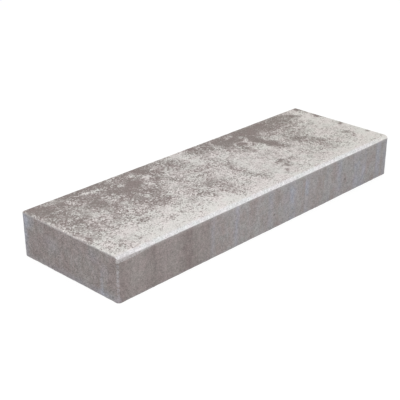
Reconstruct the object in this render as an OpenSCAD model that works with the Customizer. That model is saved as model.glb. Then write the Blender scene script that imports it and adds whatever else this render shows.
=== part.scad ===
// Concrete step block: one cast piece, laid as a single step.
// A chamfered nosing runs along the front edge of the tread. The tread's other edges and
// the four upright corners have small arrises, and the edges of the underside are square.
// Millimetres. X runs along the step, the riser faces -Y and Z is up.
// The origin is in the middle of the underside.

/* [Block] */
// Length of the step, from end to end
block_length = 1000; // [400:10:2000]
// Depth of the tread, from the riser to the back
block_depth = 330; // [200:5:500]
// Height of the riser, from the underside to the tread
block_height = 115; // [80:5:250]

/* [Nosing] */
// How far the nosing's chamfer reaches back over the tread
nosing_back = 8.5; // [2:0.5:25]
// How far the nosing's chamfer reaches down the riser
nosing_drop = 8.5; // [2:0.5:25]

/* [Arrises] */
// Chamfer on the back edge of the tread
back_arris = 3; // [1:0.5:10]
// Chamfer on the tread's edges at the two ends
end_arris = 3; // [1:0.5:10]
// Chamfer on the four upright corners
corner_arris = 4; // [1:0.5:10]

/* [Hidden] */
half_length = block_length / 2;
half_depth = block_depth / 2;
concrete_grey = [0.60, 0.57, 0.56];

// Section across the step, with Y to the right and Z up
module section_outline() {
    polygon([
        [-half_depth, 0],
        [half_depth, 0],
        [half_depth, block_height - back_arris],
        [half_depth - back_arris, block_height],
        [-half_depth + nosing_back, block_height],
        [-half_depth, block_height - nosing_drop]
    ]);
}

// Front view of the step, with X to the right and Z up
module front_outline() {
    polygon([
        [-half_length, 0],
        [half_length, 0],
        [half_length, block_height - end_arris],
        [half_length - end_arris, block_height],
        [-half_length + end_arris, block_height],
        [-half_length, block_height - end_arris]
    ]);
}

// Plan of the step: a rectangle whose four corners are cut at 45 degrees
module plan_outline() {
    inner_length = half_length - corner_arris;
    inner_depth = half_depth - corner_arris;
    polygon([
        [-inner_length, -half_depth],
        [inner_length, -half_depth],
        [half_length, -inner_depth],
        [half_length, inner_depth],
        [inner_length, half_depth],
        [-inner_length, half_depth],
        [-half_length, inner_depth],
        [-half_length, -inner_depth]
    ]);
}

// The block is what the three outlines have in common, so each edge keeps its own chamfer
// and the chamfers run into one another at the corners, as they do in the mould.
module step_block() {
    color(concrete_grey)
        intersection() {
            rotate([90, 0, 90])
                linear_extrude(block_length, center = true)
                    section_outline();
            rotate([90, 0, 0])
                linear_extrude(block_depth, center = true)
                    front_outline();
            linear_extrude(block_height)
                plan_outline();
        }
}

step_block();
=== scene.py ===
import math
from collections import namedtuple

import bpy
import numpy as np
from bpy.props import FloatProperty, FloatVectorProperty, IntProperty, PointerProperty
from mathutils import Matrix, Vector


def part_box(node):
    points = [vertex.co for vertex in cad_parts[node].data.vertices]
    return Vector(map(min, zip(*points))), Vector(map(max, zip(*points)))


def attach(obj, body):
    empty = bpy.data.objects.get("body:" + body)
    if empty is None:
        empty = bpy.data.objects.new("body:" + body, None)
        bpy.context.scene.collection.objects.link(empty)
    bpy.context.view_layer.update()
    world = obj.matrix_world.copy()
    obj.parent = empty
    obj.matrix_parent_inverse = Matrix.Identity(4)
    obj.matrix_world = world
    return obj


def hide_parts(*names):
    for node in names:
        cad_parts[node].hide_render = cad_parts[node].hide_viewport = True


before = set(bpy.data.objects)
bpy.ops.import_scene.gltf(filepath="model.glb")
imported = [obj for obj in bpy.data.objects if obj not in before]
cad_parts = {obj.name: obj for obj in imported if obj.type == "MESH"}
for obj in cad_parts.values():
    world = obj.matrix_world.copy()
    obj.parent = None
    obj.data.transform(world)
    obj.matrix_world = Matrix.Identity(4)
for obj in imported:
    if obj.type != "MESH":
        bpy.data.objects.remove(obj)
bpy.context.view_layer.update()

bl_info = {
    "name": "Concrete Step Block",
    "version": (1, 0, 0),
    "blender": (4, 5, 0),
    "location": "View3D > Sidebar > Step Block",
    "description": "Dresses a cast concrete step block with a clouded tread and streaked sides",
    "category": "Object",
}

MM = 0.001
NODE = "step_block"
LOW, HIGH = (np.array(corner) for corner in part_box(NODE))
SIZE = HIGH - LOW

# A soft patch on the tread: its middle, its length and width at half strength and its turn, in
# millimetres and degrees from the middle of the tread. Strength is above 0 for brown-grey
# concrete that shows through and below 0 for pale bloom that covers it.
Cloud = namedtuple("Cloud", "x y length width turn strength")

TREAD_CLOUDS = (
    # The dark, broken left half towards the back
    Cloud(-350, 80, 350, 206, 0, 0.76),
    Cloud(-480, 142, 78, 56, 0, 0.75),
    Cloud(-447, 100, 40, 30, 0, 0.30),
    Cloud(-335, 154, 90, 24, 0, 0.55),
    Cloud(-240, 78, 60, 65, 0, 0.40),
    Cloud(-200, 104, 36, 46, 0, 0.40),
    Cloud(-235, 138, 90, 40, 0, 0.35),
    Cloud(-465, 0, 34, 30, 0, 0.32),
    Cloud(-202, 36, 45, 46, 0, 0.42),
    Cloud(-255, -15, 70, 45, 0, 0.28),
    Cloud(-215, -25, 40, 45, 0, 0.25),
    Cloud(-490, -62, 30, 30, 0, 0.60),
    Cloud(-452, -56, 50, 30, 0, 0.30),
    # Pale flecks in that half
    Cloud(-433, 147, 36, 18, 0, -0.60),
    Cloud(-390, 22, 60, 40, 0, -0.60),
    Cloud(-396, 80, 46, 46, 0, -0.34),
    Cloud(-298, -6, 26, 80, 0, -0.28),
    Cloud(-480, -22, 60, 22, 0, -0.18),
    Cloud(-176, -18, 40, 64, 0, -0.40),
    Cloud(-160, 40, 34, 34, 0, -0.28),
    # The pale strip behind the left half of the nosing
    Cloud(-330, -115, 350, 90, 0, -0.25),
    Cloud(-378, -80, 90, 50, 0, -0.20),
    Cloud(-272, -73, 50, 30, 0, -0.32),
    Cloud(-130, -145, 120, 44, 0, -0.34),
    Cloud(-452, -142, 70, 40, 0, 0.40),
    Cloud(-434, -110, 40, 28, 0, 0.22),
    Cloud(-360, -124, 28, 22, 0, 0.30),
    # The middle
    Cloud(-148, 138, 75, 34, -48, 0.70),
    Cloud(-54, 118, 56, 60, 0, 0.55),
    Cloud(-5, 112, 44, 100, 0, -0.30),
    Cloud(-34, 150, 30, 28, 0, -0.45),
    Cloud(-105, 158, 44, 16, 0, 0.45),
    Cloud(-108, 26, 70, 18, -45, 0.38),
    Cloud(-30, 34, 60, 44, 0, 0.36),
    Cloud(-82, 2, 44, 26, 0, -0.30),
    Cloud(33, 86, 28, 60, 0, 0.34),
    Cloud(10, 50, 50, 34, 0, 0.26),
    Cloud(45, 12, 26, 30, 0, 0.26),
    Cloud(-130, -40, 60, 40, 0, 0.36),
    Cloud(-65, -32, 40, 55, 0, 0.46),
    Cloud(-72, -106, 55, 76, 0, 0.50),
    Cloud(50, -52, 24, 36, 0, -0.25),
    Cloud(42, -95, 30, 50, 0, 0.18),
    Cloud(60, -132, 110, 34, 0, -0.18),
    # The dark strip along the right half of the back
    Cloud(30, 148, 40, 45, 0, 0.64),
    Cloud(68, 138, 50, 60, 0, 0.66),
    Cloud(145, 130, 80, 56, 0, 0.84),
    Cloud(310, 143, 240, 60, 0, 0.92),
    Cloud(322, 118, 136, 40, 0, 0.34),
    Cloud(462, 126, 28, 80, 0, -0.40),
    Cloud(366, 84, 56, 38, 0, 0.40),
    Cloud(404, 78, 36, 60, 0, 0.25),
    Cloud(388, 138, 34, 22, 0, 0.34),
    Cloud(106, 118, 20, 36, 0, -0.52),
    Cloud(266, 104, 50, 20, 0, -0.30),
    # The tail that runs down from it, and the patches beside the tail
    Cloud(230, 84, 38, 66, -10, 0.78),
    Cloud(226, 44, 84, 28, -72, 0.85),
    Cloud(234, 6, 44, 32, -60, 0.58),
    Cloud(205, 34, 16, 40, -15, -0.22),
    Cloud(126, 84, 30, 50, 0, 0.58),
    Cloud(88, 86, 30, 46, 0, 0.32),
    Cloud(160, -18, 44, 34, 0, 0.26),
    Cloud(290, 86, 50, 26, 40, 0.50),
    Cloud(281, 16, 28, 44, 0, -0.24),
    Cloud(333, 42, 70, 76, 0, 0.54),
    Cloud(304, -12, 84, 38, -48, 0.70),
    Cloud(356, -14, 34, 40, 0, -0.18),
    # Patches in the right half, towards the nosing
    Cloud(344, -64, 50, 50, 0, 0.22),
    Cloud(332, -94, 84, 50, 0, 0.26),
    Cloud(372, -130, 34, 34, 0, -0.25),
    Cloud(408, -84, 36, 28, 0, 0.25),
    Cloud(268, -70, 34, 60, 0, 0.26),
    Cloud(244, -130, 30, 40, 0, 0.22),
    # The pale strip along the right end
    Cloud(478, 0, 50, 330, 0, -0.18),
    Cloud(460, -114, 90, 70, 0, -0.30),
)

# Small, clearer patches of the same kind
TREAD_MARKS = (
    # Left half, towards the back
    Cloud(-443, 29, 56, 14, 0, 0.50),
    Cloud(-322, 131, 38, 12, -8, -1.00),
    Cloud(-365, 122, 24, 20, 0, 0.40),
    Cloud(-315, 74, 26, 36, 0, -0.65),
    Cloud(-300, 26, 20, 20, 0, -0.40),
    Cloud(-243, 107, 14, 13, 0, -1.00),
    Cloud(-240, 14, 12, 11, 0, -0.65),
    Cloud(-191, 66, 26, 26, 0, -0.65),
    Cloud(-162, 102, 28, 13, 20, -0.55),
    Cloud(-182, 134, 16, 30, -20, -0.50),
    Cloud(-152, 80, 40, 18, 30, 0.60),
    Cloud(-135, 114, 30, 18, -30, 0.40),
    # Left half, towards the nosing
    Cloud(-328, -73, 56, 16, -10, 0.60),
    Cloud(-276, -107, 20, 22, 0, 0.60),
    Cloud(-240, -107, 20, 14, 0, 0.45),
    Cloud(-181, -76, 18, 28, -25, 0.55),
    Cloud(-146, -65, 28, 18, 0, 0.65),
    Cloud(-126, -86, 22, 26, 0, 0.60),
    # The middle and the right half, towards the back
    Cloud(216, 143, 36, 24, 0, 0.50),
    Cloud(170, 137, 22, 10, 30, -0.70),
    Cloud(203, 115, 12, 9, 40, -0.50),
    Cloud(191, 140, 18, 9, 35, -0.60),
    Cloud(168, 78, 40, 32, 20, 1.00),
    Cloud(206, 99, 34, 9, 40, -0.55),
    Cloud(205, 70, 30, 14, 20, 0.55),
    Cloud(156, 51, 46, 16, 15, 0.62),
    Cloud(154, 29, 18, 20, 0, 0.70),
    Cloud(316, -2, 28, 18, -20, 0.35),
    Cloud(441, 122, 36, 12, -58, 0.75),
    # A thin arc near the middle
    Cloud(33, -4, 34, 14, 66, 0.36),
    Cloud(27, -32, 15, 36, 0, 0.42),
    Cloud(31, -60, 36, 14, -79, 0.40),
    Cloud(40, -85, 26, 14, -57, 0.36),
    Cloud(43, -107, 16, 28, 0, 0.32),
    # Right half, towards the nosing
    Cloud(151, -71, 30, 15, 0, 0.95),
    Cloud(157, -88, 16, 11, 40, 0.70),
    Cloud(140, -97, 15, 15, 0, 0.85),
    Cloud(152, -108, 18, 9, 30, 0.45),
    Cloud(118, -122, 17, 9, 40, 0.75),
    Cloud(98, -131, 14, 10, 0, 0.40),
    Cloud(128, -138, 18, 8, 45, 0.55),
    Cloud(188, -79, 22, 16, 0, 0.45),
    Cloud(444, -66, 22, 14, -40, 0.90),
    Cloud(438, -95, 32, 8, 42, 0.75),
    # Spots along the right end
    Cloud(489, 78, 18, 22, 0, 1.40),
    Cloud(486, -10, 18, 12, 30, 1.10),
    Cloud(490, -103, 12, 12, 0, 1.00),
    Cloud(491, 153, 16, 22, 0, 1.30),
)

# A thin pale ring round a dark spot, measured across the middle of its line
TREAD_RING = Cloud(168, 77, 45, 41, 0, -0.50)

# Places where the tread's texture is calmer. Strength is the share of the texture that is lost.
TREAD_CALM = (
    # Solid dark cores
    Cloud(-452, 132, 54, 36, 0, 0.60),
    Cloud(-338, 95, 50, 40, 0, 0.55),
    Cloud(-216, 92, 60, 46, 0, 0.60),
    Cloud(140, 124, 70, 44, 0, 0.45),
    Cloud(260, 134, 90, 44, 0, 0.45),
    Cloud(226, 54, 60, 26, -72, 0.45),
    # Hazes
    Cloud(-413, 59, 46, 40, 0, 0.55),
    Cloud(-387, 24, 50, 36, 0, 0.60),
    Cloud(-316, -114, 120, 50, 0, 0.30),
    Cloud(-36, -20, 50, 40, 0, 0.45),
    Cloud(90, -50, 64, 130, 0, 0.55),
    Cloud(194, -20, 70, 60, 0, 0.35),
    Cloud(216, -92, 60, 46, 0, 0.40),
    Cloud(290, -126, 90, 40, 0, 0.35),
    Cloud(440, 4, 60, 70, 0, 0.50),
    Cloud(490, -80, 50, 70, 0, 0.40),
)

# A clean place behind the nosing. Its strength is how much brighter it is.
TREAD_CLEAN = Cloud(-190, -128, 260, 90, 0, 0.055)

# A soft upright band on the riser: its middle along the step and its width at half strength, in
# millimetres. Strength is above 0 for darker brown and below 0 for blue-grey.
Band = namedtuple("Band", "x width strength")

RISER_BANDS = (
    Band(-483, 36, 0.60),
    Band(-395, 42, 0.65),
    Band(-285, 42, 0.85),
    Band(-222, 24, 0.30),
    Band(-205, 16, -0.35),
    Band(-123, 16, -0.70),
    Band(2, 16, -0.50),
    Band(60, 14, -0.35),
    Band(88, 26, -0.75),
    Band(146, 14, -0.75),
    Band(232, 12, -0.40),
    Band(282, 24, -0.55),
    Band(350, 18, -0.45),
    Band(378, 34, -0.75),
    Band(455, 16, -0.70),
    Band(488, 12, -0.55),
)

# A soft blue-grey bloom on the left end: its middle across the step and above the floor, and its
# width and height at half strength, in millimetres.
Bloom = namedtuple("Bloom", "y z width height strength")

END_BLOOMS = (
    Bloom(152, 98, 34, 28, 1.10),
    Bloom(160, 48, 20, 80, 0.80),
    Bloom(60, 62, 36, 30, 0.24),
    Bloom(-85, 88, 28, 24, 0.28),
    Bloom(-113, 22, 9, 55, 0.50),
    Bloom(-122, 62, 18, 24, 0.26),
    Bloom(-40, 6, 260, 14, 0.35),
    Bloom(-130, 8, 50, 18, 0.28),
)

# How far the blooms reach along the step, in millimetres
BLOOM_DEPTH = 15

# A small pit in the riser, painted dark as its shade and not cut as a hollow: its place along the
# step and above the floor, and its width and height, in millimetres.
PitShade = namedtuple("PitShade", "x z width height")

RISER_PIT_SHADES = (
    PitShade(307, 42, 7, 4.5),
    PitShade(17, 37, 6, 4),
)


def srgb(red, green, blue):
    """A colour as a picture shows it, 0 to 255, as the linear colour that a shader takes."""
    shown = np.array([red, green, blue]) / 255
    linear = np.where(shown <= 0.04045, shown / 12.92, ((shown + 0.055) / 1.055) ** 2.4)
    return tuple(float(part) for part in linear)


def length(name, description, millimetres):
    """A property that holds a length, with its default given in millimetres."""
    return FloatProperty(
        name=name,
        description=description,
        default=millimetres * MM,
        precision=5,
        unit="LENGTH",
    )


def angle(name, description, degrees):
    """A property that holds an angle, with its default given in degrees."""
    return FloatProperty(
        name=name,
        description=description,
        default=math.radians(degrees),
        subtype="ANGLE",
    )


def share(name, description, default):
    """A property that holds a share from 0 to 1."""
    return FloatProperty(
        name=name,
        description=description,
        default=default,
        min=0,
        max=1,
        subtype="FACTOR",
    )


def paint(name, description, red, green, blue):
    """A property that holds a colour, with its default given as a picture shows it."""
    return FloatVectorProperty(
        name=name,
        description=description,
        default=srgb(red, green, blue),
        size=3,
        min=0,
        max=1,
        subtype="COLOR",
    )


class BlockShape(bpy.types.PropertyGroup):
    """Edges and casting marks of the block."""

    nosing_back: length("Nosing back", "How far the nosing's chamfer reaches back over the tread", 8.5)
    nosing_drop: length("Nosing drop", "How far the nosing's chamfer reaches down the riser", 8.5)
    back_arris: length("Back arris", "Chamfer on the back edge of the tread", 3)
    end_arris: length("End arris", "Chamfer on the tread's edges at the two ends", 3)
    corner_arris: length("Corner arris", "Chamfer on the four upright corners, at half height", 4)
    corner_flare: length("Corner flare", "How much wider those chamfers get from top to foot", 2.4)
    softness: length("Softness", "How far the edges are worn round", 0.3)
    waviness: length("Waviness", "Depth of the broad unevenness of the cast faces", 0.1)
    grain: length("Grain", "Depth of the coarse grain of the cast faces", 0.05)
    chips: IntProperty(name="Chips", description="Number of small chips on the edges", default=60, min=0)
    seed: IntProperty(name="Seed", description="Start of the relief's random numbers", default=7)


class ConcreteFinish(bpy.types.PropertyGroup):
    """Colours and surface of the concrete."""

    bloom: paint("Bloom", "Pale bloom on the tread", 216, 212, 209)
    body: paint("Body", "Brown-grey concrete where the tread's bloom is missing", 134, 124, 121)
    nosing: paint("Nosing", "Clean pale concrete of the nosing", 216, 215, 216)
    side_brown: paint("Side brown", "Brown-grey concrete of the sides", 146, 138, 136)
    side_grey: paint("Side grey", "Greyer concrete of the sides", 157, 154, 154)
    # Dark brown of the bands, also painted evenly over the whole of each end as shade
    dark_brown_and_end_shade: paint("Dark brown", "Darker bands and blotches of the sides", 130, 121, 119)
    blue_grey: paint("Blue grey", "Blue-grey bands and blooms of the sides", 156, 157, 166)
    smear: paint("Smear", "Grey smear under the nosing", 182, 179, 179)
    worn: paint("Worn", "Worn upright and lower edges", 172, 171, 175)
    # The dark of pores and pits, painted as the shade inside those holes
    pore_shade_colour: paint("Pore", "Pores and pits", 104, 98, 96)
    roughness: share("Roughness", "Roughness of the cast faces", 0.92)
    specular: share("Specular", "Strength of the faint gloss", 0.25)
    bump: share("Bump", "Strength of the fine grain's bump", 0.5)
    bump_depth: length("Bump depth", "Depth of the fine grain's bump", 0.8)


class StudioStage(bpy.types.PropertyGroup):
    """Camera, floor and light."""

    azimuth: angle("Azimuth", "Angle of the camera round the block, from straight in front", -46.07)
    elevation: angle("Elevation", "Angle of the camera above the floor", 24.54)
    distance: length("Distance", "Distance from the camera to the point it aims at", 2554)
    lens: FloatProperty(name="Lens", description="Focal length in millimetres", default=90)
    aim_right: length("Aim right", "How far the aim lies to the right of the block's middle", -53.6)
    aim_up: length("Aim up", "How far the aim lies above the block's middle in the picture", -27.1)
    aim_height: length("Aim height", "Height of the block's middle, from which the aim is counted", 60)
    dome: FloatProperty(name="Dome", description="Strength of the even light all round", default=0.78)
    key: FloatProperty(name="Key", description="Power of the soft lamp in watts", default=60)
    lamp_size: length("Lamp size", "Width of the soft lamp's disk", 3000)
    lamp_place: FloatVectorProperty(
        name="Lamp place",
        description="Where the soft lamp hangs",
        default=(-1.9, -2.1, 2.9),
        size=3,
        subtype="TRANSLATION",
        unit="LENGTH",
    )
    floor_reach: length("Floor reach", "Half the width of the floor", 12000)


def smooth_max(values, softness):
    """The largest of several fields at each point, blended where two are nearly equal: the
    softness times the logarithm of the sum of exponentials of field over softness."""
    top = values.max(axis=0)
    return top + softness * np.log(np.exp((values - top) / softness).sum(axis=0))


def waves(points, wavelength, rng, count=48):
    """Random smooth relief: the sum of cosine waves in random directions with random phases and
    lengths near the given one, scaled so that its mean square is one."""
    direction = rng.normal(size=(count, 3))
    direction /= np.linalg.norm(direction, axis=1, keepdims=True)
    number = 2 * np.pi / (wavelength * rng.uniform(0.7, 1.4, count))
    phase = rng.uniform(0, 2 * np.pi, count)
    turns = points @ (direction * number[:, None]).T + phase
    return np.cos(turns).sum(axis=1) * math.sqrt(2 / count)


def stations(low, high, edge, fine, coarse):
    """Grid lines from low to high: close together within the edge zones and wider between them."""
    near = np.linspace(low, low + edge, round(edge / fine), endpoint=False)
    far = np.linspace(high, high - edge, round(edge / fine), endpoint=False)[::-1]
    middle = np.linspace(low + edge, high - edge, round((high - low - 2 * edge) / coarse) + 1)
    return np.concatenate([near, middle, far])


def lattice_shell(xs, ys, zs):
    """The six outer grids of a lattice of points, as points and outward quads. The grids share
    the points along their edges, so the shell is closed."""
    counts = (len(xs), len(ys), len(zs))
    outer = np.ones(counts, bool)
    outer[1:-1, 1:-1, 1:-1] = False
    index = np.full(counts, -1)
    index[outer] = np.arange(outer.sum())
    points = np.stack(np.meshgrid(xs, ys, zs, indexing="ij"), axis=-1)[outer]

    def quads(grid):
        corners = [grid[:-1, :-1], grid[1:, :-1], grid[1:, 1:], grid[:-1, 1:]]
        return np.stack(corners, axis=-1).reshape(-1, 4)

    faces = [
        quads(index[:, :, -1]),
        quads(index[:, :, 0].T),
        quads(index[:, 0, :]),
        quads(index[:, -1, :].T),
        quads(index[-1, :, :]),
        quads(index[0, :, :].T),
    ]
    return points, np.concatenate(faces)


def block_planes(shape):
    """The block as half-spaces, one for each flat face: outward normals, and distances from the
    origin. A chamfer between two faces is the plane that cuts both at its two legs. The upright
    chamfers lean by their flare, so that they widen towards the foot."""
    half_length, half_depth, height = SIZE[0] / 2, SIZE[1] / 2, SIZE[2]
    left, right = np.array([-1.0, 0, 0]), np.array([1.0, 0, 0])
    front, back = np.array([0, -1.0, 0]), np.array([0, 1.0, 0])
    down, up = np.array([0, 0, -1.0]), np.array([0, 0, 1.0])
    planes = [
        (left, half_length),
        (right, half_length),
        (front, half_depth),
        (back, half_depth),
        (down, 0),
        (up, height),
    ]

    def chamfer(first, first_offset, first_leg, second, second_offset, second_leg, flare=0):
        normal = first / first_leg + second / second_leg - up * flare / height / first_leg
        offset = first_offset / first_leg + second_offset / second_leg - 1 - flare / 2 / first_leg
        planes.append((normal / np.linalg.norm(normal), offset / np.linalg.norm(normal)))

    chamfer(front, half_depth, shape.nosing_back, up, height, shape.nosing_drop)
    chamfer(back, half_depth, shape.back_arris, up, height, shape.back_arris)
    corner = shape.corner_arris
    for end in (left, right):
        chamfer(end, half_length, shape.end_arris, up, height, shape.end_arris)
        for side in (front, back):
            chamfer(end, half_length, corner, side, half_depth, corner, shape.corner_flare)
    normals, offsets = zip(*planes)
    return np.array(normals), np.array(offsets)


# The least and the largest ball that bites a chip, and the least and the deepest bite, in millimetres
CHIP_RADIUS = (3, 8)
CHIP_BITE = (0.3, 1.2)


def edge_chips(shape, rng):
    """Small chips as balls that bite into the edges: each ball's middle lies outside a random
    point of an edge, so far out that only its bite reaches in."""
    half_length, half_depth, height = SIZE[0] / 2, SIZE[1] / 2, SIZE[2]
    diagonal = math.sqrt(0.5)
    edges = []
    for side in (-1, 1):
        long_foot = (-half_length, side * half_depth, 0)
        end_foot = (side * half_length, -half_depth, 0)
        end_top = (side * half_length, -half_depth, height)
        edges.append((long_foot, (1, 0, 0), SIZE[0], (0, side, -1), 0))
        edges.append((end_foot, (0, 1, 0), SIZE[1], (side, 0, -1), 0))
        edges.append((end_top, (0, 1, 0), SIZE[1], (side, 0, 1), shape.end_arris))
        for end in (-1, 1):
            corner = (end * half_length, side * half_depth, 0)
            edges.append((corner, (0, 0, 1), height, (end, side, 0), shape.corner_arris))
    starts, runs, lengths, outward, insets = (np.array(column, float) for column in zip(*edges))
    chosen = rng.choice(len(edges), shape.chips, p=lengths / lengths.sum())
    along = rng.uniform(0, lengths[chosen])
    radius = rng.uniform(*CHIP_RADIUS, shape.chips) * MM
    bite = rng.uniform(*CHIP_BITE, shape.chips) * MM
    out = radius - bite - insets[chosen] * diagonal
    on_edge = starts[chosen] + runs[chosen] * along[:, None]
    return on_edge + outward[chosen] * (diagonal * out)[:, None], radius


# The lattice: its steps across the nosing and in each edge zone, its step between those zones, and
# how far inside the box its lines fan out from
NOSING_STEPS = 8
EDGE_STEPS = 12
COARSE_STEP = 4 * MM
CORE_DEPTH = 20 * MM

# Lengths of the faces' unevenness, of their grain and of the changes in the edges' wear
BROAD_WAVE = 160 * MM
GRAIN_WAVE = 14 * MM
WEAR_WAVE = 30 * MM

# How the points find the surface: the passes, the step that feels for the field's slope, and the
# least slope that is believed
PASSES = 6
PROBE = 0.01 * MM
LEAST_SLOPE = 0.3


def cast_surface(shape):
    """The block's worn surface. Points start on a lattice round the sharp box and move in, on
    lines that fan out from a core inside it, until the solid's field is zero there. The field is
    the soft maximum of the face planes and the chips, plus the relief of the cast faces."""
    rng = np.random.default_rng(shape.seed)
    fine = shape.nosing_back / NOSING_STEPS
    edge = EDGE_STEPS * fine
    grid = [stations(low, high, edge, fine, COARSE_STEP) for low, high in zip(LOW, HIGH)]
    points, quads = lattice_shell(*grid)
    core = np.clip(points, LOW + CORE_DEPTH, HIGH - CORE_DEPTH)
    inward = core - points
    inward /= np.linalg.norm(inward, axis=1, keepdims=True)
    broad = waves(points, BROAD_WAVE, rng)
    coarse = waves(points, GRAIN_WAVE, rng)
    relief = shape.waviness * broad + shape.grain * coarse
    relief = relief - relief.min()
    softness = shape.softness * (1 + 0.5 * np.clip(waves(points, WEAR_WAVE, rng), -1, 2))
    normals, offsets = block_planes(shape)
    centres, radii = edge_chips(shape, rng)

    def field(place):
        faces = smooth_max(normals @ place.T - offsets[:, None], softness)
        for centre, radius in zip(centres, radii):
            faces = np.maximum(faces, radius - np.linalg.norm(place - centre, axis=1))
        return faces + relief

    depth = np.zeros(len(points))
    for _ in range(PASSES):
        here = field(points + inward * depth[:, None])
        deeper = field(points + inward * (depth + PROBE)[:, None])
        depth -= here * PROBE / np.minimum(deeper - here, -LEAST_SLOPE * PROBE)
    return points + inward * depth[:, None], quads


def new_mesh(name, points, quads):
    """A mesh object at the origin from arrays of points and quads."""
    mesh = bpy.data.meshes.new(name)
    mesh.vertices.add(len(points))
    mesh.vertices.foreach_set("co", np.ascontiguousarray(points, np.float32).ravel())
    mesh.loops.add(quads.size)
    mesh.loops.foreach_set("vertex_index", np.ascontiguousarray(quads, np.int32).ravel())
    mesh.polygons.add(len(quads))
    mesh.polygons.foreach_set("loop_start", np.arange(0, quads.size, 4, dtype=np.int32))
    mesh.update(calc_edges=True)
    mesh.shade_smooth()
    piece = bpy.data.objects.new(name, mesh)
    bpy.context.scene.collection.objects.link(piece)
    return piece


class Shade:
    """A socket of a node tree that arithmetic can be done on. Each operation adds its node."""

    def __init__(self, tree, socket):
        self.tree = tree
        self.socket = socket

    def node(self, kind, settings, inputs, output=0):
        """Adds a node of any kind: its settings first, then the values or links of its sockets."""
        made = self.tree.nodes.new(kind)
        for name, value in settings.items():
            setattr(made, name, value)
        for key, value in inputs.items():
            if isinstance(value, Shade):
                self.tree.links.new(value.socket, made.inputs[key])
            else:
                made.inputs[key].default_value = value
        return Shade(self.tree, made.outputs[output])

    def math(self, operation, first, second=0.0):
        return self.node("ShaderNodeMath", {"operation": operation}, {0: first, 1: second})

    def __add__(self, other):
        return self.math("ADD", self, other)

    def __radd__(self, other):
        return self.math("ADD", other, self)

    def __sub__(self, other):
        return self.math("SUBTRACT", self, other)

    def __rsub__(self, other):
        return self.math("SUBTRACT", other, self)

    def __mul__(self, other):
        return self.math("MULTIPLY", self, other)

    def __rmul__(self, other):
        return self.math("MULTIPLY", other, self)

    def __truediv__(self, other):
        return self.math("DIVIDE", self, other)

    def __abs__(self):
        return self.math("ABSOLUTE", self)

    def least(self, other):
        return self.math("MINIMUM", self, other)

    def most(self, other):
        return self.math("MAXIMUM", self, other)

    def rise(self, low, high):
        """0 up to low, 1 from high on, and a smooth rise between them."""
        inputs = {"Value": self, "From Min": low, "From Max": high}
        return self.node("ShaderNodeMapRange", {"interpolation_type": "SMOOTHSTEP"}, inputs)

    def blend(self, low, high):
        """The first colour where this value is 0, the second where it is 1."""
        settings = {"data_type": "RGBA", "clamp_factor": True}
        return self.node("ShaderNodeMix", settings, {0: self, 6: low, 7: high}, output=2)

    def vector(self, operation, other):
        """Vector maths on this vector or colour, with a second one or, to scale it, a value."""
        second = "Scale" if operation == "SCALE" else 1
        return self.node("ShaderNodeVectorMath", {"operation": operation}, {0: self, second: other})

    def tint(self, amount):
        """This colour times a grey value."""
        return self.vector("SCALE", amount)

    def noise(self, size, detail, roughness, swirl=0.0):
        """Noise at these coordinates, about 0, with features of about the given size."""
        inputs = {
            "Vector": self,
            "Scale": 1 / size,
            "Detail": detail,
            "Roughness": roughness,
            "Distortion": swirl,
        }
        return self.node("ShaderNodeTexNoise", {}, inputs) - 0.5

    def shaken(self, size, reach):
        """These coordinates moved at random by up to half the reach, over features of the given size."""
        inputs = {"Vector": self, "Scale": 1 / size, "Detail": 3, "Roughness": 0.6}
        random = self.node("ShaderNodeTexNoise", {}, inputs, "Color")
        return self.vector("ADD", random.vector("SUBTRACT", (0.5, 0.5, 0.5)).vector("SCALE", reach))

    def patch(self, middle, size, turn=0.0):
        """A soft patch: 1 in its middle, and half at its given size across."""
        inputs = {"Vector": self, "Location": middle, "Rotation": (0, 0, turn), "Scale": size}
        local = self.node("ShaderNodeMapping", {"vector_type": "TEXTURE"}, inputs)
        settings = {"gradient_type": "SPHERICAL"}
        return self.node("ShaderNodeTexGradient", settings, {"Vector": local}, "Fac")

    def cells(self, size):
        """A random value from 0 to 1 for each cell of a Voronoi pattern of about the given size."""
        colour = self.node("ShaderNodeTexVoronoi", {}, {"Vector": self, "Scale": 1 / size}, "Color")
        return self.node("ShaderNodeSeparateColor", {}, {0: colour})

    def stretched(self, x, y, z):
        """These coordinates with each axis drawn out by a factor."""
        return self.vector("DIVIDE", (x, y, z))


def rgba(part):
    """A colour property as a socket takes it."""
    return (*part, 1.0)


def grey(value):
    """A grey of the given brightness as a socket takes it."""
    return (value, value, value, 1.0)


# A tint that changes nothing
NO_TINT = grey(1.0)

# Where a point of the block is: its coordinates together, its place along the step and its height,
# its distances from the tread's level, the riser, the nearer end, the nearer long side and the
# nearest of the four sides, and two grains of the concrete there, both about 0.
Where = namedtuple("Where", "place x z below from_front from_end from_side inside grain fine")

# The size of a soft patch along an axis on which it doesn't change, far larger than the block
FAR = 1000.0


def find_place(tree):
    """The point that is shaded, as distances on the block."""
    coordinates = tree.nodes.new("ShaderNodeTexCoord")
    place = Shade(tree, coordinates.outputs["Object"])
    x, y, z = (place.node("ShaderNodeSeparateXYZ", {}, {0: place}, axis) for axis in range(3))
    from_end = SIZE[0] / 2 - abs(x)
    from_side = SIZE[1] / 2 - abs(y)
    return Where(
        place=place,
        x=x,
        z=z,
        below=SIZE[2] - z,
        from_front=y + SIZE[1] / 2,
        from_end=from_end,
        from_side=from_side,
        inside=from_end.least(from_side),
        grain=place.noise(8 * MM, 3, 0.65),
        fine=place.noise(2.6 * MM, 2, 0.7),
    )


def cloud_patch(place, cloud):
    """A soft patch of the tread at these coordinates."""
    middle = (cloud.x * MM, cloud.y * MM, 0)
    size = (cloud.length * MM, cloud.width * MM, FAR)
    return place.patch(middle, size, math.radians(cloud.turn))


def cloud_sum(place, clouds):
    """The sum of soft patches at these coordinates, each times its strength."""
    total = 0.0
    for cloud in clouds:
        total = cloud_patch(place, cloud) * cloud.strength + total
    return total


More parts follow.
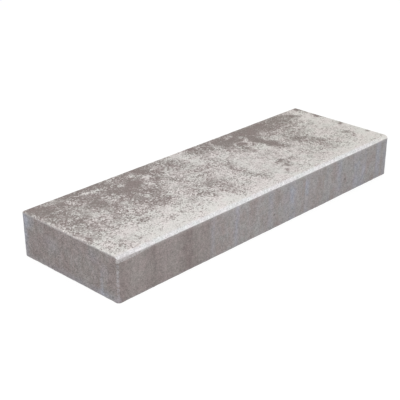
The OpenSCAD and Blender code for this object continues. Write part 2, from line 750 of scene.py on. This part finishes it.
def cloud_ring(place, cloud):
    """A soft line where a patch is at half strength, times its strength."""
    return (1 - abs(cloud_patch(place, cloud) - 0.5).rise(0.02, 0.15)) * cloud.strength


def tread_clouds(at, frayed, on_right):
    """How much brown-grey the tread has before its texture: the clouds, marks and ring on shaken
    coordinates and a broad noise, with less along the nosing and along the rims of the ends."""
    stirred = at.place.shaken(8 * MM, 12 * MM)
    broad = at.place.noise(50 * MM, 3, 0.6) * 0.5
    behind_nosing = at.from_front.rise(5 * MM, 50 * MM) * 0.22
    bare_rim = 1 - on_right * at.from_front.rise(0.16, 0.24) * 0.6
    rim = (1 - at.from_end.rise(2 * MM, 12 * MM)) * bare_rim
    field = broad + behind_nosing - rim * 0.35 + 0.07
    field = field + cloud_sum(frayed, TREAD_CLOUDS) + cloud_sum(stirred, TREAD_MARKS)
    return field + cloud_ring(stirred, TREAD_RING)


def tread_texture(place, frayed, on_right):
    """What frays the clouds: a lace of swirled noise, and grit whose grains are the cells of a
    Voronoi pattern. Both fade in random hazes and in the calm places."""
    lace = place.noise(16 * MM, 4, 0.62, swirl=0.8) * 1.7
    grains = (place.shaken(2 * MM, 2.5 * MM).cells(3.6 * MM) - 0.5) * 0.65
    grit = grains + place.noise(3.5 * MM, 2, 0.6) * 1.6
    calm = cloud_sum(frayed, TREAD_CALM)
    hazy = place.noise(42 * MM, 3, 0.6, swirl=0.5).rise(-0.1, 0.14) * (0.62 - on_right * 0.2)
    texture = lace * (1.3 - on_right * 0.15) + grit * (2.15 - on_right * 0.6)
    return texture * (1 - calm) * (1 - hazy)


def tread_colour(at, finish):
    """Pale bloom broken by brown-grey clouds. A steep rise turns the sum of the clouds and their
    texture into how far the brown-grey shows, and crumbs of bloom lie on it. The bloom is
    brighter in one clean place, and slightly yellower towards the right end."""
    frayed = at.place.shaken(28 * MM, 45 * MM)
    on_right = at.x.rise(-0.15, 0.15)
    field = tread_clouds(at, frayed, on_right) + tread_texture(at.place, frayed, on_right)
    crumbs = at.place.noise(6.5 * MM, 3, 0.7, swirl=0.6).rise(0.08, 0.26) * 0.45
    tone = field.rise(-0.05, 1.1) * (1 - crumbs)
    colour = tone.blend(rgba(finish.bloom), rgba(finish.body))
    clean = cloud_patch(frayed, TREAD_CLEAN) * TREAD_CLEAN.strength
    speckle = at.fine * (tone * 0.5 + 1) + at.grain * 0.2
    yellowed = at.x.rise(0.0, 0.48).blend(NO_TINT, (1.003, 1.008, 0.986, 1))
    return colour.tint(1 + clean + speckle).vector("MULTIPLY", yellowed)


def riser_bands(x, wobble, sign):
    """The sum of the riser's soft upright bands of one kind, 0 to 1."""
    total = 0.0
    for band in RISER_BANDS:
        if band.strength * sign > 0:
            reach = abs(x - band.x * MM + wobble) / (band.width * MM)
            total = total + (1 - reach.rise(0.0, 1.0)) * abs(band.strength)
    return total


def end_blooms(place):
    """The sum of the ends' soft blooms. The right end has those of the left end, turned round."""
    frayed = place.shaken(14 * MM, 16 * MM)
    total = 0.0
    for bloom in END_BLOOMS:
        size = (BLOOM_DEPTH * MM, bloom.width * MM, bloom.height * MM)
        for end, across in ((LOW[0], bloom.y), (HIGH[0], -bloom.y)):
            total = frayed.patch((end, across * MM, bloom.z * MM), size) * bloom.strength + total
    return total


def painted_pore_shade(place, beneath):
    """How far the painted shade of holes shows: fine pores, larger air holes beneath and the riser's
    pits.
    """
    pore_shade = place.noise(5 * MM, 1, 0.5).rise(0.16, 0.26) * 0.5
    pore_shade = (place.noise(11 * MM, 1, 0.5).rise(0.18, 0.22) * beneath * 0.7).most(pore_shade)
    for pit_shade in RISER_PIT_SHADES:
        size = (pit_shade.width * MM, pit_shade.width * MM, pit_shade.height * MM)
        pore_shade = place.patch((pit_shade.x * MM, LOW[1], pit_shade.z * MM), size).most(pore_shade)
    return pore_shade


def side_colour(at, finish):
    """Brown-grey concrete, greyer on the right of the riser, mottled at the scale of its grains. The
    riser and the back have soft upright bands, and the ends have darker blotches on an even
    painted shade over each whole end, and blue-grey blooms. The underside has broad tones and the
    painted shade of air holes."""
    place, x = at.place, at.x
    on_long = 1 - at.from_side.rise(2 * MM, 8 * MM)
    on_end = 1 - at.from_end.rise(2 * MM, 8 * MM)
    beneath = (1 - at.z.rise(1 * MM, 3 * MM)) * at.inside.rise(2 * MM, 9 * MM)
    streaks = place.stretched(1, 1, 14).noise(10 * MM, 3, 0.6)
    patchy = place.stretched(1, 1, 1.6).noise(22 * MM, 3, 0.65, swirl=0.5)
    drift = place.noise(45 * MM, 3, 0.6)
    coarse = place.noise(7 * MM, 3, 0.7)

    greyness = (x + streaks * 0.12 + drift * 0.1).rise(-0.27, -0.13)
    greyness = greyness + on_end * (0.35 - greyness)
    brown = 1 - greyness * (0.55 - patchy * 3.5 - streaks * 1.2) + coarse * 0.5
    colour = brown.blend(rgba(finish.side_grey), rgba(finish.side_brown))

    dark_bands_and_end_shade = riser_bands(x, streaks * 0.04, 1) * on_long * (1 + patchy * 3)
    # Partly painted shade: the ends' blotches sit on an even share of dark brown over each whole end
    dark_bands_and_end_shade = dark_bands_and_end_shade + on_end * (0.3 + patchy * 2.5)
    colour = dark_bands_and_end_shade.blend(colour, rgba(finish.dark_brown_and_end_shade))

    blue = riser_bands(x, streaks * 0.03, -1) * on_long * (0.75 + patchy * 5)
    blue = blue + end_blooms(place) * (1 + patchy * 4)
    colour = blue.blend(colour, rgba(finish.blue_grey))

    # Painted shade: pores, air holes and pits are darkened in colour, not cut as hollows
    colour = painted_pore_shade(place, beneath).blend(colour, rgba(finish.pore_shade_colour))
    tones = place.noise(110 * MM, 4, 0.65, swirl=0.4) * 0.7 + patchy * 0.3
    mottling = patchy * 0.2 + coarse * (0.88 + on_end * 0.4) + at.fine * (1.3 + on_end * 0.6)
    return colour.tint(1 + streaks * on_long * 0.15 + mottling + beneath * tones)


def worn_edges(at, side, shape, finish):
    """The sides with a paler fade under the nosing, a mottled grey smear that tapers off under its
    left end, a pale rim under the tread's ends, and spotty worn upright corners and lower edges."""
    ragged = at.place.noise(5 * MM, 3, 0.65)
    on_riser = 1 - at.from_front.rise(2 * MM, 8 * MM)
    fade = (1 - (at.below + ragged * 6 * MM).rise(6 * MM, 18 * MM)) * on_riser
    side = (fade * 0.45).blend(side, rgba(finish.smear))

    smear_depth = shape.nosing_drop + 8 * MM - (at.x - LOW[0]).rise(0.04, 0.15) * 9 * MM
    smear = (1 - (at.below - smear_depth + ragged * 9 * MM).rise(-1 * MM, 2 * MM)) * on_riser
    side = (smear * (0.75 + ragged * 5 + at.fine * 4)).blend(side, rgba(finish.smear))

    on_end = 1 - at.from_end.rise(2 * MM, 6 * MM)
    rim = (1 - (at.below + ragged * 8 * MM).rise(2 * MM, 8 * MM)) * on_end
    side = (rim * (0.7 + at.fine * 2)).blend(side, rgba(finish.smear))

    corner_gap = (at.from_end + at.from_side) / shape.corner_arris - 1
    corner = (1 - corner_gap.rise(0.1, 0.7)) * (0.3 + ragged * 3 + at.fine * 1.5)
    corner = corner * (at.below + ragged * 6 * MM).rise(18 * MM, 26 * MM)
    foot = (1 - at.z.rise(0.0, 7 * MM)) * (1 - at.inside.rise(2 * MM, 9 * MM)) * (0.2 + ragged * 3)
    return corner.most(foot).blend(side, rgba(finish.worn))


def on_nosing(at, shape, ragged):
    """How far the nosing's clean concrete shows: on its chamfer, with a ragged upper edge and with a
    lower edge that rises towards the ends."""
    gap = at.from_front / shape.nosing_back + at.below / shape.nosing_drop - 1
    upper = (at.below + ragged * 6 * MM).rise(0.0, 3.5 * MM)
    rising = (1 - at.from_end.rise(0.0, 90 * MM)) * 1.2 * MM
    foot = shape.nosing_drop
    lower = 1 - (at.below + ragged * 3 * MM + rising).rise(foot, foot + 1.5 * MM)
    return (1 - gap.rise(0.12, 0.3)) * upper * lower


def nosing_colour(at, finish):
    """Clean pale concrete, warmer at the right end and duller towards the left."""
    warmth = at.x.rise(0.4, 0.49).blend(NO_TINT, (1.016, 1.0, 0.945, 1))
    brightness = at.x.rise(-0.5, -0.44) * 0.09 + at.x.rise(-0.4, -0.15) * 0.05 + 0.87
    return warmth.vector("MULTIPLY", finish.nosing).tint(brightness + at.grain * 0.8 + at.fine * 1.2)


def concrete_material(shape, finish):
    """Cast concrete: the tread's colour down to a ragged line on the sides, the sides' below it, and a
    clean pale nosing between the tread and the riser. All of it drifts a little in hue."""
    material = bpy.data.materials.new("cast_concrete")
    material.use_nodes = True
    tree = material.node_tree
    shader = tree.nodes["Principled BSDF"]
    at = find_place(tree)
    ragged = at.place.noise(4 * MM, 3, 0.65)

    side = worn_edges(at, side_colour(at, finish), shape, finish)
    on_tread = 1 - (at.below + ragged * 9 * MM).rise(1 * MM, 5 * MM)
    colour = on_tread.blend(side, tread_colour(at, finish))
    colour = on_nosing(at, shape, ragged).blend(colour, nosing_colour(at, finish))
    drift = at.place.noise(34 * MM, 2, 0.5, swirl=0.3).rise(-0.16, 0.16)
    hue = drift.blend((0.983, 1.004, 0.994, 1), (1.016, 0.993, 0.998, 1))
    colour = colour.vector("MULTIPLY", hue)
    tree.links.new(colour.socket, shader.inputs["Base Color"])

    height = at.fine * 0.5 + at.grain
    inputs = {"Strength": finish.bump, "Distance": finish.bump_depth, "Height": height}
    bump = at.place.node("ShaderNodeBump", {}, inputs)
    tree.links.new(bump.socket, shader.inputs["Normal"])
    shader.inputs["Roughness"].default_value = finish.roughness
    shader.inputs["Specular IOR Level"].default_value = finish.specular
    return material


class STEPBLOCK_OT_cast(bpy.types.Operator):
    """Make the worn cast block and its concrete"""

    bl_idname = "step_block.cast"
    bl_label = "Cast Block"

    def execute(self, context):
        shape = context.scene.step_block_shape
        finish = context.scene.step_block_finish
        block = new_mesh("cast_block", *cast_surface(shape))
        block.data.materials.append(concrete_material(shape, finish))
        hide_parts(NODE)
        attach(block, "root")
        return {"FINISHED"}


def seen_as_backdrop(tree):
    """1 for what the camera sees, straight or by a mirror or glass, and 0 for the light on the block."""
    path = tree.nodes.new("ShaderNodeLightPath")
    rays = ("Is Camera Ray", "Is Glossy Ray", "Is Transmission Ray")
    camera, glossy, through = (Shade(tree, path.outputs[name]) for name in rays)
    return camera.most(glossy).most(through)


# The floor's own brightness as the block sees it, and as the camera does, with its glow added there
FLOOR_TO_BLOCK = 0.8
FLOOR_TO_CAMERA = 0.25
FLOOR_GLOW = 0.8


def white_floor_material():
    """A white floor that keeps the block's shadow: plain matt white to the block, and the same with
    a share of white light of its own to the camera, so that only the shadow is less than white."""
    material = bpy.data.materials.new("white_floor")
    material.use_nodes = True
    tree = material.node_tree
    tree.nodes.clear()
    output = tree.nodes.new("ShaderNodeOutputMaterial")
    seen = seen_as_backdrop(tree)
    plain = seen.node("ShaderNodeBsdfDiffuse", {}, {"Color": grey(FLOOR_TO_BLOCK)})
    shown = seen.node("ShaderNodeBsdfDiffuse", {}, {"Color": grey(FLOOR_TO_CAMERA)})
    light = seen.node("ShaderNodeEmission", {}, {"Color": grey(1.0), "Strength": FLOOR_GLOW})
    lit = seen.node("ShaderNodeAddShader", {}, {0: shown, 1: light})
    mixed = seen.node("ShaderNodeMixShader", {}, {0: seen, 1: plain, 2: lit})
    tree.links.new(mixed.socket, output.inputs["Surface"])
    return material


def studio_world(stage):
    """Even white light from all round, seen by the camera as plain white."""
    world = bpy.data.worlds.new("studio")
    world.use_nodes = True
    tree = world.node_tree
    seen = seen_as_backdrop(tree)
    background = tree.nodes["Background"]
    background.inputs["Color"].default_value = grey(1.0)
    strength = seen * (1 - stage.dome) + stage.dome
    tree.links.new(strength.socket, background.inputs["Strength"])
    return world


def soft_lamp(stage, aim):
    """A wide disk lamp that faces the aim."""
    lamp = bpy.data.lights.new("soft_lamp", "AREA")
    lamp.shape = "DISK"
    lamp.size = stage.lamp_size
    lamp.energy = stage.key
    lamp_object = bpy.data.objects.new("soft_lamp", lamp)
    lamp_object.location = stage.lamp_place
    lamp_object.rotation_euler = (aim - lamp_object.location).to_track_quat("-Z", "Y").to_euler()
    return lamp_object


# Width of the camera's sensor, in millimetres as its lens is
SENSOR_WIDTH = 36


def picture_camera(stage, aim):
    """A camera at the stage's angles and distance. It is moved sideways and up, unturned, so that the
    block lies in the picture where it should."""
    turn, tilt = stage.azimuth, stage.elevation
    level = math.cos(tilt)
    back = Vector((math.sin(turn) * level, -math.cos(turn) * level, math.sin(tilt)))
    right = Vector((math.cos(turn), math.sin(turn), 0))
    up = back.cross(right)
    camera = bpy.data.cameras.new("camera")
    camera.sensor_width = SENSOR_WIDTH
    camera.lens = stage.lens
    camera_object = bpy.data.objects.new("camera", camera)
    moved = right * stage.aim_right + up * stage.aim_up
    camera_object.location = aim + back * stage.distance + moved
    camera_object.rotation_euler = (-back).to_track_quat("-Z", "Y").to_euler()
    return camera_object


class STEPBLOCK_OT_stage(bpy.types.Operator):
    """Set up the floor, the soft light and the camera"""

    bl_idname = "step_block.stage"
    bl_label = "Set Up Stage"

    def execute(self, context):
        scene = context.scene
        stage = scene.step_block_stage
        corners = np.array([[-1, -1, 0], [1, -1, 0], [1, 1, 0], [-1, 1, 0]]) * stage.floor_reach
        floor = new_mesh("floor", corners, np.array([[0, 1, 2, 3]]))
        floor.data.materials.append(white_floor_material())
        scene.world = studio_world(stage)

        aim = Vector((0, 0, stage.aim_height))
        scene.collection.objects.link(soft_lamp(stage, aim))
        scene.camera = picture_camera(stage, aim)
        scene.collection.objects.link(scene.camera)
        scene.view_settings.view_transform = "Standard"
        return {"FINISHED"}


class STEPBLOCK_PT_sidebar(bpy.types.Panel):
    """Lists the block's settings and the operators that make it"""

    bl_label = "Step Block"
    bl_idname = "STEPBLOCK_PT_sidebar"
    bl_space_type = "VIEW_3D"
    bl_region_type = "UI"
    bl_category = "Step Block"

    def draw(self, context):
        layout = self.layout
        for group in (context.scene.step_block_shape, context.scene.step_block_finish):
            for name in group.__annotations__:
                layout.prop(group, name)
        layout.operator(STEPBLOCK_OT_cast.bl_idname)
        for name in context.scene.step_block_stage.__annotations__:
            layout.prop(context.scene.step_block_stage, name)
        layout.operator(STEPBLOCK_OT_stage.bl_idname)


CLASSES = (
    BlockShape,
    ConcreteFinish,
    StudioStage,
    STEPBLOCK_OT_cast,
    STEPBLOCK_OT_stage,
    STEPBLOCK_PT_sidebar,
)


def register():
    for each in CLASSES:
        bpy.utils.register_class(each)
    bpy.types.Scene.step_block_shape = PointerProperty(type=BlockShape)
    bpy.types.Scene.step_block_finish = PointerProperty(type=ConcreteFinish)
    bpy.types.Scene.step_block_stage = PointerProperty(type=StudioStage)


def unregister():
    del bpy.types.Scene.step_block_stage
    del bpy.types.Scene.step_block_finish
    del bpy.types.Scene.step_block_shape
    for each in reversed(CLASSES):
        bpy.utils.unregister_class(each)


def main():
    register()
    bpy.ops.step_block.cast()
    bpy.ops.step_block.stage()


if __name__ == "__main__":
    main()
